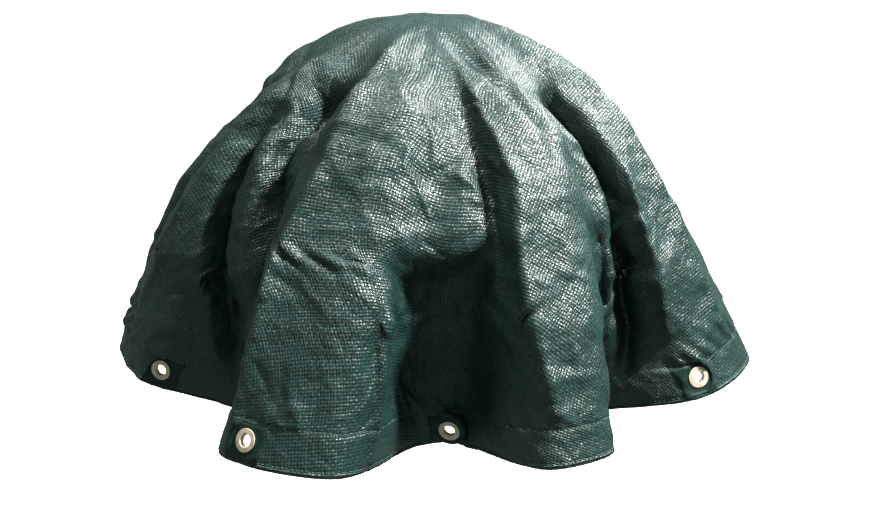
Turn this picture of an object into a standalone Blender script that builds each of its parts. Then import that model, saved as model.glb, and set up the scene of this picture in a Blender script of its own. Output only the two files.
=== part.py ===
"""Kettle barbecue cover: one round sheet of coated woven polyethylene with a roped hem and
twelve eyelets, shaped as it hangs over the handle and lid of a kettle barbecue.

Metres, +Z up.  The origin is the underside of the crown, where the lid handle carries the
cover.  The front is towards -Y.  A cloth point is named by its flat distance from the centre
(reach) and its flat angle from the front (turn)."""
import bpy
import bmesh
import numpy as np
from math import pi, radians
from mathutils import Matrix, Vector

# ---- driving dimensions -------------------------------------------------------------------
CUT_RADIUS = 0.550           # centre to finished edge, laid flat
SHEET = 0.0008               # thickness of the sheet and of the hem's facing strip
GAP = 0.0003                 # between pieces that touch
HEM = 0.042                  # height of the hem
CROWN = 0.030                # flat disc that rests on the lid handle
ROPE = 0.0030                # diameter of the rope in the hem
THREAD = 0.0008              # diameter of the sewing thread
LOWER_SEAM = 0.0065          # seams, measured up from the finished edge
UPPER_SEAM = 0.0395

EYELETS = 12
FIRST_EYELET = -165.0        # turn of the first eyelet, degrees
EYELET_OUTER = 0.022
EYELET_HOLE = 0.0116
EYELET_WALL = 0.0005
EYELET_PROUD = 0.0010        # height of the flange
PATCH = 0.0006               # thickness of the patch under each eyelet
WASHER = 0.0006
LIP_RADIUS = 0.0085          # rolled end of the barrel behind the washer

# ---- how the sheet hangs ------------------------------------------------------------------
# Radius and height of a ridge and of a valley where they cross three rings of the cloth.
RING_REACH = (0.175, 0.360, CUT_RADIUS)
RIDGE = ((0.168, -0.050), (0.280, -0.187), (0.372, -0.356))
VALLEY = ((0.163, -0.074), (0.238, -0.222), (0.200, -0.407))
RING_SWING = (0.4, 0.8, 1.0)  # share of each fold's sideways shift that a ring has taken up
# Fold lines from the left round by the front: bearing from the front in degrees, hem radius,
# and how far the middle ring stands out beyond its usual place.
FOLDS = (
    (-86, 0.345, 0.012), (-66, 0.342, 0.006), (-47, 0.258, 0.0),     # left lobe
    (-31, 0.370, 0.0), (-13, 0.362, 0.0), (-2, 0.226, 0.0),          # front left lobe
    (8, 0.226, 0.0), (18, 0.348, 0.0), (31, 0.345, 0.0), (43, 0.198, 0.0),   # front right lobe
    (57, 0.340, 0.0), (76, 0.367, -0.008), (98, 0.200, 0.0),         # right lobe
    (114, 0.358, 0.0), (133, 0.372, 0.0), (150, 0.205, 0.0),         # back right lobe
    (165, 0.372, 0.0), (186, 0.365, 0.0), (202, 0.190, 0.0),         # back lobe
    (219, 0.368, 0.0), (238, 0.368, 0.0), (255, 0.195, 0.0),         # back left lobe
)
FRONT_FOLD = 3               # this fold line's turn fixes how the cloth is rotated
FRONT_TURN = -17.9

# ---- mesh fineness ------------------------------------------------------------------------
COLUMNS = 84                 # every seventh cell is centred on an eyelet
CELL_TOP = 0.037             # the flat cell that carries an eyelet, up from the edge
CELL_FOOT = 0.009
ROUND = 16                   # sides of the small round pieces
BODY_REACH = (0.060, 0.100, 0.145, 0.190, 0.235, 0.280, 0.330, 0.380, 0.430, 0.475)


# ---- the hanging surface ------------------------------------------------------------------
def at_bearing(radius, bearing, height):
    return np.stack([radius * np.sin(bearing), -radius * np.cos(bearing), height], -1)


def hermite(p0, m0, p1, m1, u):
    u2, u3 = u * u, u * u * u
    return ((2 * u3 - 3 * u2 + 1) * p0 + (u3 - 2 * u2 + u) * m0
            + (3 * u2 - 2 * u3) * p1 + (u3 - u2) * m1)


def around(turns, points, asked):
    """Smooth closed curve through points at their turns, read at the asked turns."""
    full = 2 * pi
    knots = np.concatenate([[turns[-1] - full], turns, [turns[0] + full, turns[1] + full]])
    values = np.concatenate([points[-1:], points, points[:2]])
    slopes = (values[2:] - values[:-2]) / (knots[2:] - knots[:-2])[:, None]
    wrapped = (asked - turns[0]) % full + turns[0]
    span = np.clip(np.searchsorted(knots[1:-1], wrapped, side="right") - 1, 0, len(turns) - 1)
    width = (knots[span + 2] - knots[span + 1])[:, None]
    u = (wrapped - knots[span + 1])[:, None] / width
    return hermite(values[span + 1], slopes[span] * width,
                   values[span + 2], slopes[span + 1] * width, u)


def hem_lengths(turns, hem_points):
    """Finely spaced turns, and the share of a full turn that the hem's length gives each."""
    fine = np.linspace(turns[0], turns[0] + 2 * pi, 3601)
    steps = np.linalg.norm(np.diff(around(turns, hem_points, fine), axis=0), axis=1)
    length = np.concatenate([[0], np.cumsum(steps)])
    return fine, length / length[-1] * 2 * pi


def fold_turns(bearings, hem_points):
    """Cloth turn of each fold line, by sharing the cloth out along the hem's length."""
    turns = bearings.copy()
    for _ in range(5):
        fine, shared = hem_lengths(turns, hem_points)
        turns = np.interp(turns, fine, shared)
        turns += radians(FRONT_TURN) - turns[FRONT_FOLD]
    return turns


def fold_rings():
    """Turns of the fold lines, and the points where they cross each ring of the cloth."""
    bearings = np.radians([fold[0] for fold in FOLDS])
    crest = np.array([fold[1] for fold in FOLDS])
    crest = (crest - VALLEY[2][0]) / (RIDGE[2][0] - VALLEY[2][0])
    places = []
    for ridge, valley in zip(RIDGE, VALLEY):
        places.append([valley[i] + (ridge[i] - valley[i]) * crest for i in (0, 1)])
    places[1][0] = places[1][0] + np.array([fold[2] for fold in FOLDS])
    turns = fold_turns(bearings, at_bearing(places[2][0], bearings, places[2][1]))
    rings = []
    for (radius, height), swing in zip(places, RING_SWING):
        rings.append(at_bearing(radius, turns + swing * (bearings - turns), height))
    return turns, rings


FOLD_TURNS, FOLD_RINGS = fold_rings()


def even_turns(turns):
    """Turns moved a little, so that equal steps along the cloth are equal along the hem."""
    fine, shared = hem_lengths(FOLD_TURNS, FOLD_RINGS[2])
    wrapped = (turns - fine[0]) % (2 * pi)
    return turns + np.interp(wrapped, shared, fine - fine[0]) - wrapped


def surface(reaches, turns):
    """Points of the sheet's inner face, one row for each reach and one column for each turn."""
    turns = np.asarray(turns, float)
    outward = at_bearing(np.ones(len(turns)), turns, np.zeros(len(turns)))
    knots = np.array((CROWN,) + RING_REACH)
    spread = even_turns(turns)
    rings = np.stack([CROWN * outward] + [around(FOLD_TURNS, ring, spread) for ring in FOLD_RINGS])
    steps = np.diff(knots)[:, None, None]
    runs = np.diff(rings, axis=0) / steps
    slopes = np.concatenate([outward[None], (runs[:-1] + runs[1:]) / 2, runs[-1:]])
    rows = []
    for reach in reaches:
        if reach <= CROWN:
            rows.append(reach * outward)
            continue
        i = min(int(np.searchsorted(knots, reach, side="left")) - 1, len(knots) - 2)
        width = knots[i + 1] - knots[i]
        u = (reach - knots[i]) / width
        rows.append(hermite(rings[i], slopes[i] * width, rings[i + 1], slopes[i + 1] * width, u))
    return np.stack(rows)


# ---- the common grid, which every layer of the hem follows -----------------------------------
def grid_turns():
    step = 360.0 / COLUMNS
    return np.radians(FIRST_EYELET + step * (np.arange(COLUMNS) + 0.5))


def grid_reaches():
    edge = [CUT_RADIUS - rise for rise in (HEM, CELL_TOP, CELL_FOOT)]
    return [CROWN, *BODY_REACH, *edge, CUT_RADIUS]


def eyelet_columns():
    """Left column of each eyelet's cell."""
    return [(k * COLUMNS // EYELETS - 1) % COLUMNS for k in range(EYELETS)]


def cell_frame(grid, row, column):
    """Frame of one cell: X along the hem, Y up the cloth, Z outward."""
    right = (column + 1) % COLUMNS
    a, b, c, d = grid[row, column], grid[row, right], grid[row + 1, right], grid[row + 1, column]
    outward = Vector(np.cross(c - a, b - d)).normalized()
    side = Vector(b + c - a - d)
    side = (side - outward * side.dot(outward)).normalized()
    frame = Matrix((side, outward.cross(side), outward)).transposed().to_4x4()
    frame.translation = (a + b + c + d) / 4
    return frame


def hanging_grid():
    """The inner face's grid, with the cell under each eyelet pressed flat."""
    reaches = grid_reaches()
    grid = surface(reaches, grid_turns())
    row = len(reaches) - 3
    frames = []
    for column in eyelet_columns():
        frame = cell_frame(grid, row, column)
        centre, outward = np.array(frame.translation), np.array(frame.col[2][:3])
        for r in (row, row + 1):
            for c in (column, (column + 1) % COLUMNS):
                grid[r, c] -= outward * np.dot(grid[r, c] - centre, outward)
        frames.append(frame)
    return grid, frames


def grid_normals(grid):
    """Outward direction at each grid point."""
    across = np.roll(grid, -1, axis=1) - np.roll(grid, 1, axis=1)
    downward = np.gradient(grid, axis=0)
    normals = np.cross(downward, across)
    normals /= np.linalg.norm(normals, axis=2)[..., None]
    normals[0] = (0, 0, 1)
    return normals


# ---- building solids --------------------------------------------------------------------------
def clear_scene():
    for thing in list(bpy.data.objects):
        bpy.data.objects.remove(thing, do_unlink=True)


def material(name, colour, roughness, metallic=0.0):
    made = bpy.data.materials.new(name)
    made.use_nodes = True
    shader = made.node_tree.nodes["Principled BSDF"]
    shader.inputs["Base Color"].default_value = (*colour, 1)
    shader.inputs["Roughness"].default_value = roughness
    shader.inputs["Metallic"].default_value = metallic
    return made


def add_object(name, bm, finish, smooth=True):
    bmesh.ops.recalc_face_normals(bm, faces=bm.faces)
    mesh = bpy.data.meshes.new(name)
    bm.to_mesh(mesh)
    bm.free()
    if smooth:
        mesh.shade_smooth()
        mesh.set_sharp_from_angle(angle=radians(40))
    mesh.materials.append(finish)
    made = bpy.data.objects.new(name, mesh)
    bpy.context.collection.objects.link(made)
    return made


def face_rows(bm, upper, lower):
    """Quads between two closed rows of vertices."""
    count = len(upper)
    for i in range(count):
        j = (i + 1) % count
        bm.faces.new((upper[i], upper[j], lower[j], lower[i]))


def shell(name, inner, outer, finish, poles=None):
    """Closed solid between two grids that go all the way round.  With poles it closes at the
    crown, and without them it is an open band."""
    bm = bmesh.new()
    rows_in = [[bm.verts.new(p) for p in row] for row in inner]
    rows_out = [[bm.verts.new(p) for p in row] for row in outer]
    for rows in (rows_in, rows_out):
        for upper, lower in zip(rows, rows[1:]):
            face_rows(bm, upper, lower)
    face_rows(bm, rows_in[-1], rows_out[-1])
    if poles is None:
        face_rows(bm, rows_in[0], rows_out[0])
    else:
        for rows, pole in zip((rows_in, rows_out), poles):
            tip = bm.verts.new(pole)
            count = len(rows[0])
            for i in range(count):
                bm.faces.new((tip, rows[0][i], rows[0][(i + 1) % count]))
    bmesh.ops.triangulate(bm, faces=[f for f in bm.faces if len(f.verts) > 3])
    return add_object(name, bm, finish)


def ring_tube(name, centres, radius, sides, finish):
    """Closed tube along a closed line of points."""
    bm = bmesh.new()
    count = len(centres)
    rings = []
    for i, centre in enumerate(centres):
        along = Vector(centres[(i + 1) % count] - centres[i - 1]).normalized()
        up = Vector((0, 0, 1))
        out = along.cross(up).normalized()
        up = out.cross(along).normalized()
        ring = []
        for k in range(sides):
            angle = 2 * pi * (k + 0.5) / sides
            offset = out * (radius * np.cos(angle)) + up * (radius * np.sin(angle))
            ring.append(bm.verts.new(Vector(centre) + offset))
        rings.append(ring)
    for i in range(count):
        face_rows(bm, rings[i], rings[(i + 1) % count])
    return add_object(name, bm, finish)


def turned(name, profile, finish, frame):
    """Ring turned about its own Z from a closed profile of (radius, height)."""
    bm = bmesh.new()
    rings = []
    for radius, height in profile:
        rings.append([bm.verts.new((radius * np.cos(2 * pi * k / ROUND),
                                    radius * np.sin(2 * pi * k / ROUND), height))
                      for k in range(ROUND)])
    for i in range(len(rings)):
        face_rows(bm, rings[i], rings[(i + 1) % len(rings)])
    made = add_object(name, bm, finish)
    made.matrix_world = frame
    return made


def punch(target, frames):
    """Cut the eyelet holes through a layer with one cutter of separate pins."""
    bm = bmesh.new()
    radius = EYELET_HOLE / 2 + EYELET_WALL + GAP
    for frame in frames:
        bmesh.ops.create_cone(bm, cap_ends=True, segments=ROUND, radius1=radius,
                              radius2=radius, depth=0.012, matrix=frame)
    mesh = bpy.data.meshes.new(target.name + "_punch")
    bm.to_mesh(mesh)
    bm.free()
    cutter = bpy.data.objects.new(target.name + "_punch", mesh)
    bpy.context.collection.objects.link(cutter)
    cutter.hide_render = True
    cutter.display_type = "WIRE"
    cut = target.modifiers.new("eyelet_holes", "BOOLEAN")
    cut.operation = "DIFFERENCE"
    cut.solver = "EXACT"
    cut.object = cutter


# ---- the pieces -----------------------------------------------------------------------------
def make_sheet(grid, normals, frames, finish):
    made = shell("cover_sheet", grid, grid + normals * SHEET, finish,
                 poles=((0, 0, 0), (0, 0, SHEET)))
    punch(made, frames)


def make_facing(grid, normals, frames, finish):
    """Strip sewn inside the sheet from the hem's top seam down to the rope."""
    band, outward = grid[-4:-1], normals[-4:-1]
    made = shell("hem_facing", band - outward * (GAP + SHEET), band - outward * GAP, finish)
    punch(made, frames)


def make_rope(grid, normals, finish):
    inset = GAP + ROPE / 2
    foot = 0.55 * grid[-1] + 0.45 * grid[-2]
    ring_tube("hem_rope", foot - normals[-1] * inset, ROPE / 2, 6, finish)


def make_seam(name, grid, normals, rise, finish):
    """One line of thread lying on the outside of the sheet."""
    reaches = grid_reaches()
    low = int(np.searchsorted(reaches, CUT_RADIUS - rise))
    share = (CUT_RADIUS - rise - reaches[low - 1]) / (reaches[low] - reaches[low - 1])
    line = grid[low - 1] * (1 - share) + grid[low] * share
    outward = normals[low - 1] * (1 - share) + normals[low] * share
    ring_tube(name, line + outward * (SHEET + GAP + THREAD), THREAD / 2, 4, finish)


def make_patch(number, grid, normals, column, frame, finish):
    """Smooth reinforcing patch over one cell, between the sheet and the eyelet's flange."""
    rows, right = (len(grid) - 3, len(grid) - 2), (column + 1) % COLUMNS
    corners = [(rows[0], column), (rows[0], right), (rows[1], right), (rows[1], column)]
    bm = bmesh.new()
    layers = []
    for rise in (SHEET + GAP, SHEET + GAP + PATCH):
        layers.append([bm.verts.new(grid[at] + normals[at] * rise) for at in corners])
    face_rows(bm, *layers)
    for layer in layers:
        bm.faces.new(layer)
    made = add_object(f"eyelet_patch_{number:02d}", bm, finish, smooth=False)
    punch(made, [frame])


def make_eyelet(number, frame, finish):
    """Flange, barrel and the lip that is rolled over behind the washer."""
    hole = EYELET_HOLE / 2
    barrel = hole + EYELET_WALL
    rim = EYELET_OUTER / 2
    face = SHEET + PATCH + 2 * GAP
    top = face + EYELET_PROUD
    back = -(GAP + SHEET + GAP + WASHER + GAP)
    lip = back - EYELET_WALL
    profile = ((hole, top - 0.0003), (hole + 0.0005, top), (rim - 0.0007, top), (rim, face + 0.0003),
               (rim, face), (barrel, face), (barrel, back), (LIP_RADIUS, back), (LIP_RADIUS, lip),
               (hole, lip))
    turned(f"eyelet_{number:02d}", profile, finish, frame)


def make_washer(number, frame, finish):
    bore = EYELET_HOLE / 2 + EYELET_WALL + GAP
    rim = EYELET_OUTER / 2
    front = -(GAP + SHEET + GAP)
    profile = ((bore, front), (rim, front), (rim, front - WASHER), (bore, front - WASHER))
    turned(f"eyelet_washer_{number:02d}", profile, finish, frame)


def build():
    clear_scene()
    cloth = material("woven_polyethylene", (0.012, 0.055, 0.045), 0.42)
    smooth_film = material("smooth_polyethylene", (0.010, 0.042, 0.036), 0.5)
    rope = material("polypropylene_rope", (0.02, 0.06, 0.05), 0.7)
    thread = material("sewing_thread", (0.10, 0.20, 0.17), 0.6)
    metal = material("eyelet_aluminium", (0.78, 0.76, 0.72), 0.25, 1.0)
    grid, frames = hanging_grid()
    normals = grid_normals(grid)
    make_sheet(grid, normals, frames, cloth)
    make_facing(grid, normals, frames, cloth)
    make_rope(grid, normals, rope)
    make_seam("lower_hem_thread", grid, normals, LOWER_SEAM, thread)
    make_seam("upper_hem_thread", grid, normals, UPPER_SEAM, thread)
    for number, (column, frame) in enumerate(zip(eyelet_columns(), frames), start=1):
        make_patch(number, grid, normals, column, frame, smooth_film)
        make_eyelet(number, frame, metal)
        make_washer(number, frame, metal)


build()
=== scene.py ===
"""Looks of the kettle barbecue cover: a relaxed sheet of woven tape with its rolled hem, seams,
patches and eyelets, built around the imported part.

Metres, in the part's frame.  A cloth point is named by its flat distance from the centre
(reach) and its flat angle from the front (turn), as in the part."""

from math import pi, radians

import bpy
import numpy as np
from mathutils import Matrix, Vector
from mathutils.geometry import delaunay_2d_cdt


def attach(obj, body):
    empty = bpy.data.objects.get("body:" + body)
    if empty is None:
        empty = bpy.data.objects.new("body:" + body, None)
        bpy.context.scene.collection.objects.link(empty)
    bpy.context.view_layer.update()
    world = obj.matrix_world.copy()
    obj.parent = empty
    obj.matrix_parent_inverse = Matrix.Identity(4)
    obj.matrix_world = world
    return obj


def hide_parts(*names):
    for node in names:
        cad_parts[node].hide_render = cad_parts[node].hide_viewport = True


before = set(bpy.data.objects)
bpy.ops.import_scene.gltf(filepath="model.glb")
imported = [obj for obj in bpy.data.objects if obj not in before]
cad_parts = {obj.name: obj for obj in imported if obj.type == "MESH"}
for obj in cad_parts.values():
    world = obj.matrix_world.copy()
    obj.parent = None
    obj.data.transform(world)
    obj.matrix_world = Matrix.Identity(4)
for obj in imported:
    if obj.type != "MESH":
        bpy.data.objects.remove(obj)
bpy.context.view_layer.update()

# ---- sizes repeated from the part ----
CUT_RADIUS = 0.550
SHEET = 0.0008
GAP = 0.0003
HEM = 0.042
CROWN = 0.030
ROPE = 0.0030
LOWER_SEAM = 0.0065
UPPER_SEAM = 0.0395
EYELETS = 12
FIRST_EYELET = -165.0
EYELET_OUTER = 0.022
EYELET_HOLE = 0.0116
EYELET_WALL = 0.0005
EYELET_PROUD = 0.0010
PATCH = 0.0006
WASHER = 0.0006
LIP_RADIUS = 0.0085
RING_REACH = (0.175, 0.360, CUT_RADIUS)
RIDGE = ((0.168, -0.050), (0.280, -0.187), (0.372, -0.356))
VALLEY = ((0.163, -0.074), (0.238, -0.222), (0.200, -0.407))
RING_SWING = (0.4, 0.8, 1.0)
FOLDS = (
    (-86, 0.345, 0.012), (-66, 0.342, 0.006), (-47, 0.258, 0),
    (-31, 0.370, 0), (-13, 0.362, 0), (-2, 0.226, 0),
    (8, 0.226, 0), (18, 0.348, 0), (31, 0.345, 0), (43, 0.198, 0),
    (57, 0.340, 0), (76, 0.367, -0.008), (98, 0.200, 0),
    (114, 0.358, 0), (133, 0.372, 0), (150, 0.205, 0),
    (165, 0.372, 0), (186, 0.365, 0), (202, 0.190, 0),
    (219, 0.368, 0), (238, 0.368, 0), (255, 0.195, 0),
)
FRONT_FOLD = 3
FRONT_TURN = -17.9
CELL_TOP = 0.037
CELL_FOOT = 0.009
CELL_TURN = 360.0 / 84

# ---- how the cloth is relaxed ----
SOLVE_RINGS = (25, 50, 100)  # rings of the cloth grid, coarse to fine
SOLVE_STEPS = (150, 200, 140)
SOLVE_PULL = (0.15, 0.15, 0.12)  # share of the way back to the drawn drape at each step
HEM_PULL = 0.05  # more of it at the hem, growing over the length below
HEM_HOLD = 0.05
STEP_TIME = 0.01
WEIGHT = 1.0  # m/s2, small because the drawn drape is only settled, not dropped
DAMPING = 0.9
TOP_SPEED = 0.6
SHEAR = 0.6  # how much of a diagonal's error one step puts right
SQUEEZE = 0.3  # the same for a thread along the hem that is too short
SPOKE_SQUEEZE = 0.1  # and for one that runs up the cloth
EVEN_RINGS = 110  # grid on which the drawn drape is evened
EVEN_SPOKES = 1440
BEND = 0.05
FLAT_SPOT = 0.015  # cloth this close to an eyelet's centre lies flat
FLAT_EDGE = 0.006  # and blends into the rest over this length

# Narrow pleats drawn over the big folds before the cloth is relaxed.  Each is its half-width
# in metres, and its line up the cloth as (reach, turn in degrees, height off the drape).
PLEATS = (
    # left lobe
    (0.014, ((0.10, -53, 0), (0.20, -52, 0.008), (0.36, -52, 0.010), (0.54, -52, 0))),
    (0.012, ((0.18, -61, 0), (0.28, -61, -0.014), (0.40, -60, -0.012), (0.50, -60, 0))),
    (0.014, ((0.20, -47, 0), (0.25, -48, -0.028), (0.35, -42, -0.036), (0.44, -36, -0.030),
             (0.54, -34, 0))),
    (0.007, ((0.19, -42, 0), (0.23, -42, 0.006), (0.29, -37, 0.008), (0.38, -32, 0.008),
             (0.46, -29, 0))),
    # front left lobe
    (0.016, ((0.15, -31, 0), (0.18, -33, -0.034), (0.25, -34, -0.050), (0.34, -28, -0.040),
             (0.46, -25, 0))),
    (0.010, ((0.04, -10, 0), (0.10, -14, 0.010), (0.18, -16, 0.016), (0.25, -15, 0.018),
             (0.38, -16, 0.018), (0.54, -17, 0.004))),
    (0.008, ((0.29, 8, 0), (0.35, 7, 0.006), (0.45, 3, 0.012), (0.54, 0, 0.004))),
    # front valley, and the swell over the kettle's rim above it
    (0.050, ((0.22, 14, 0), (0.31, 16, 0.010), (0.33, 16, 0.006), (0.35, 16, 0))),
    (0.055, ((0.33, 16, 0), (0.36, 16, -0.028), (0.48, 14, -0.024), (0.545, 13, 0))),
    # front right lobe
    (0.011, ((0.14, 15, 0), (0.22, 20, -0.009), (0.30, 26, -0.012), (0.37, 30, 0))),
    (0.009, ((0.05, 6, 0), (0.13, 19, 0.006), (0.28, 32, 0.013), (0.50, 33, 0.008))),
    (0.010, ((0.07, 20, 0), (0.14, 31, -0.012), (0.21, 42, -0.016), (0.28, 43, 0))),
    (0.010, ((0.18, 53, 0), (0.26, 57, 0.014), (0.40, 60, 0.018), (0.54, 62, 0))),
    # right lobe
    (0.010, ((0.16, 58, 0), (0.19, 60, -0.028), (0.27, 64, -0.042), (0.36, 66, -0.042),
             (0.44, 66, -0.032), (0.52, 66, 0))),
    (0.009, ((0.20, 67, 0), (0.30, 71, 0.013), (0.42, 72, 0.012), (0.50, 72, 0))),
    (0.018, ((0.09, 58, 0), (0.19, 78, 0.012), (0.36, 80, 0.014), (0.54, 82, 0))),
    (0.007, ((0.18, 86, 0), (0.26, 86, -0.014), (0.38, 86, -0.012), (0.46, 86, 0))),
)
BACK_PLEATS = 17  # more of the same kind, placed by chance round the back
BACK_TURNS = (92.0, 290.0)
BACK_START = (0.15, 0.20)  # reach where they begin
BACK_WIDTH = (0.008, 0.012)
BACK_HEIGHT = (0.010, 0.018)
BACK_LEAN = 4.0  # most degrees off the spoke
RIDGE_SHARPNESS = 1.2  # how fast a raised pleat falls away from its crest

# ---- crumpling of the film, added to the relaxed cloth ----
CRUMPLES = (  # size of the facets, height, stretch, direction in degrees
    (0.050, 0.013, 0.45, -52.0),
    (0.026, 0.008, 0.60, 38.0),
    (0.013, 0.0032, 0.80, -20.0),
)
CRUMPLE_PATCH = 0.11  # size of the areas that are crumpled more or less
CRUMPLE_LEAST = 0.25
CRUMPLE_HEM = 0.35  # share left on the stiffer hem
CRUMPLE_START = 0.10  # crumpling grows to its full height over this length from the crown
CRUMPLE_CELL = 0.002
FACET_HALF = CUT_RADIUS * 1.5
CREASES = 420  # sharp single creases over the whole sheet
CREASE_LENGTH = (0.025, 0.085)
CREASE_WIDTH = (0.0035, 0.0090)
CREASE_HEIGHT = (0.0015, 0.0050)
CREASE_SLANT = (38.0, -42.0)  # usual directions off the spoke, in degrees
CREASE_SPREAD = 14.0
PEAK_CREASES = 0.20  # creases keep more of their height inside this reach
PEAK_BLEND = 0.08
GATHERS = 34  # small folds that run out from the lid handle
GATHER_START = 0.048
GATHER_LENGTH = (0.070, 0.160)
GATHER_WIDTH = 0.0050
GATHER_HEIGHT = (0.0008, 0.0020)
SEAM_DIP = 0.0007
SEAM_WIDTH = 0.0022
PUCKER = 0.0006
PUCKERS = 420
PUCKER_SPREAD = 2.5  # in seam widths

# ---- the barbecue underneath, which is not shown ----
KETTLE_RADIUS = 0.210
KETTLE_RIM = -0.215
LID_HEIGHT = 0.160
BOWL_DEPTH = 0.200
KETTLE_SQUARENESS = 2.5
HANDLE_HALF = 0.045
HANDLE_RADIUS = 0.013

# ---- the visible mesh ----
BODY_RINGS = 170  # rings from the centre to the hem
HEM_RINGS = 30  # rings across the hem
HEM_STEP = 0.004  # the hem's stiffness sets in over this length
ROLL_START = 0.004  # the sheet turns round the rope this far above the edge
ROLL_STEPS = 8
ROLL_END = 235.0  # degrees turned round the rope
ROLL_RADIUS = 0.0026
TUCK = 0.0035  # the turned edge reaches this far up behind the sheet
FACING_ROWS = 14
FACING_DEPTH = 0.0019  # the facing's inner face below the sheet's outer face
ROPE_SIDES = 12
ROPE_TURNS = 260  # twists of the rope in one lap of the hem
STRANDS = 3
STRAND_DEPTH = 0.12  # of the rope's radius
STITCH_PITCH = 0.0048
STITCH_LENGTH = 0.0037
STITCH_SIDES = 6
STITCH_RISE = (-0.0004, 0.0001, 0.0002, 0.0002, 0.0001, -0.0004)
STITCH_THICK = (0.00025, 0.00042, 0.00045, 0.00045, 0.00042, 0.00025)
PATCH_HALF = 0.0200
PATCH_BELOW = 0.0185
PATCH_ABOVE = 0.0150
PATCH_CELLS = 24
PATCH_EDGE = 0.0001
HOLE_CLEARANCE = EYELET_HOLE / 2 + 0.0015
TAPE = 0.0031  # pitch of the woven tapes
TAPE_SWAY = 0.0012
WEAVE_DEPTH = 0.00048
CREPE_DEPTH = 0.0035  # fine crumpling that the mesh is too coarse for
SKIN = SHEET  # outer face above the part's inner face
EYELET_SIDES = 64

# ---- looks: the two colours that each material varies between ----
TAPE_COLOURS = ((0.002, 0.018, 0.014), (0.010, 0.056, 0.046))
# painted shade: the near-black colour put in the gaps between the tapes, where the weave's relief
# is low
GAP_SHADE_COLOUR = (0.001, 0.005, 0.004)
TAPE_ROUGH = (0.32, 0.48)
GAP_ROUGH = 0.35  # added between the tapes
FILM_COLOURS = ((0.002, 0.017, 0.013), (0.005, 0.030, 0.024))
FILM_ROUGH = (0.50, 0.64)
THREAD_COLOURS = ((0.02, 0.055, 0.045), (0.09, 0.17, 0.145))
ROPE_COLOURS = ((0.010, 0.040, 0.033), (0.03, 0.09, 0.075))
METAL_COLOURS = ((0.86, 0.71, 0.56), (0.65, 0.47, 0.31))
METAL_ROUGH = (0.26, 0.46)
FLOOR_COLOURS = ((0.90, 0.90, 0.90), (0.93, 0.93, 0.93))

# ---- the set ----
FLOOR_Z = -1.0
STAGE_HALF = 40.0
FLOOR_GLOW = 1.0
SKY = 0.24
SKY_COLOUR = (0.78, 1.0, 0.94)
LIGHT_AIM = (0, 0, -0.2)
LIGHTS = (  # name, place, size, power
    ("key", (1.40, -0.40, 1.60), 0.20, 172),
    ("rim", (1.30, 1.40, 1.00), 0.5, 50),
    ("top", (-0.60, 0.25, 1.85), 0.3, 29),
)
CAMERA_PLACE = (0, -1.20, 0.167)
CAMERA_TILT = 70.5  # degrees up from straight down
SENSOR = 36.0
FOCAL_LENGTH = 45.31
SHIFT = (0.0092, -0.0230)


# ---- the drape, as the part has it ----
def at_bearing(radius, bearing, height):
    return np.stack([radius * np.sin(bearing), -radius * np.cos(bearing), height], -1)


def hermite(p0, m0, p1, m1, u):
    u2, u3 = u * u, u * u * u
    return ((2 * u3 - 3 * u2 + 1) * p0 + (u3 - 2 * u2 + u) * m0
            + (3 * u2 - 2 * u3) * p1 + (u3 - u2) * m1)


def around(turns, points, asked):
    """Smooth closed curve through points at their turns, read at the asked turns."""
    full = 2 * pi
    knots = np.concatenate([[turns[-1] - full], turns, [turns[0] + full, turns[1] + full]])
    values = np.concatenate([points[-1:], points, points[:2]])
    slopes = (values[2:] - values[:-2]) / (knots[2:] - knots[:-2])[:, None]
    wrapped = (asked - turns[0]) % full + turns[0]
    span = np.clip(np.searchsorted(knots[1:-1], wrapped, side="right") - 1, 0, len(turns) - 1)
    width = (knots[span + 2] - knots[span + 1])[:, None]
    u = (wrapped - knots[span + 1])[:, None] / width
    return hermite(values[span + 1], slopes[span] * width,
                   values[span + 2], slopes[span + 1] * width, u)


def hem_lengths(turns, hem_points):
    """Finely spaced turns, and the share of a full turn that the hem's length gives each."""
    fine = np.linspace(turns[0], turns[0] + 2 * pi, 3601)
    steps = np.linalg.norm(np.diff(around(turns, hem_points, fine), axis=0), axis=1)
    length = np.concatenate([[0], np.cumsum(steps)])
    return fine, length / length[-1] * 2 * pi


def fold_turns(bearings, hem_points):
    """Cloth turn of each fold line, by sharing the cloth out along the hem's length."""
    turns = bearings.copy()
    for _ in range(5):
        fine, shared = hem_lengths(turns, hem_points)
        turns = np.interp(turns, fine, shared)
        turns += radians(FRONT_TURN) - turns[FRONT_FOLD]
    return turns


def fold_rings():
    """Turns of the fold lines, and the points where they cross each ring of the cloth."""
    bearings = np.radians([fold[0] for fold in FOLDS])
    crest = np.array([fold[1] for fold in FOLDS])
    crest = (crest - VALLEY[2][0]) / (RIDGE[2][0] - VALLEY[2][0])
    places = []
    for ridge, valley in zip(RIDGE, VALLEY):
        places.append([valley[i] + (ridge[i] - valley[i]) * crest for i in (0, 1)])
    places[1][0] = places[1][0] + np.array([fold[2] for fold in FOLDS])
    turns = fold_turns(bearings, at_bearing(places[2][0], bearings, places[2][1]))
    rings = []
    for (radius, height), swing in zip(places, RING_SWING):
        rings.append(at_bearing(radius, turns + swing * (bearings - turns), height))
    return turns, rings


FOLD_TURNS, FOLD_RINGS = fold_rings()


def even_turns(turns):
    """Turns moved a little, so that equal steps along the cloth are equal along the hem."""
    fine, shared = hem_lengths(FOLD_TURNS, FOLD_RINGS[2])
    wrapped = (turns - fine[0]) % (2 * pi)
    return turns + np.interp(wrapped, shared, fine - fine[0]) - wrapped


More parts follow.
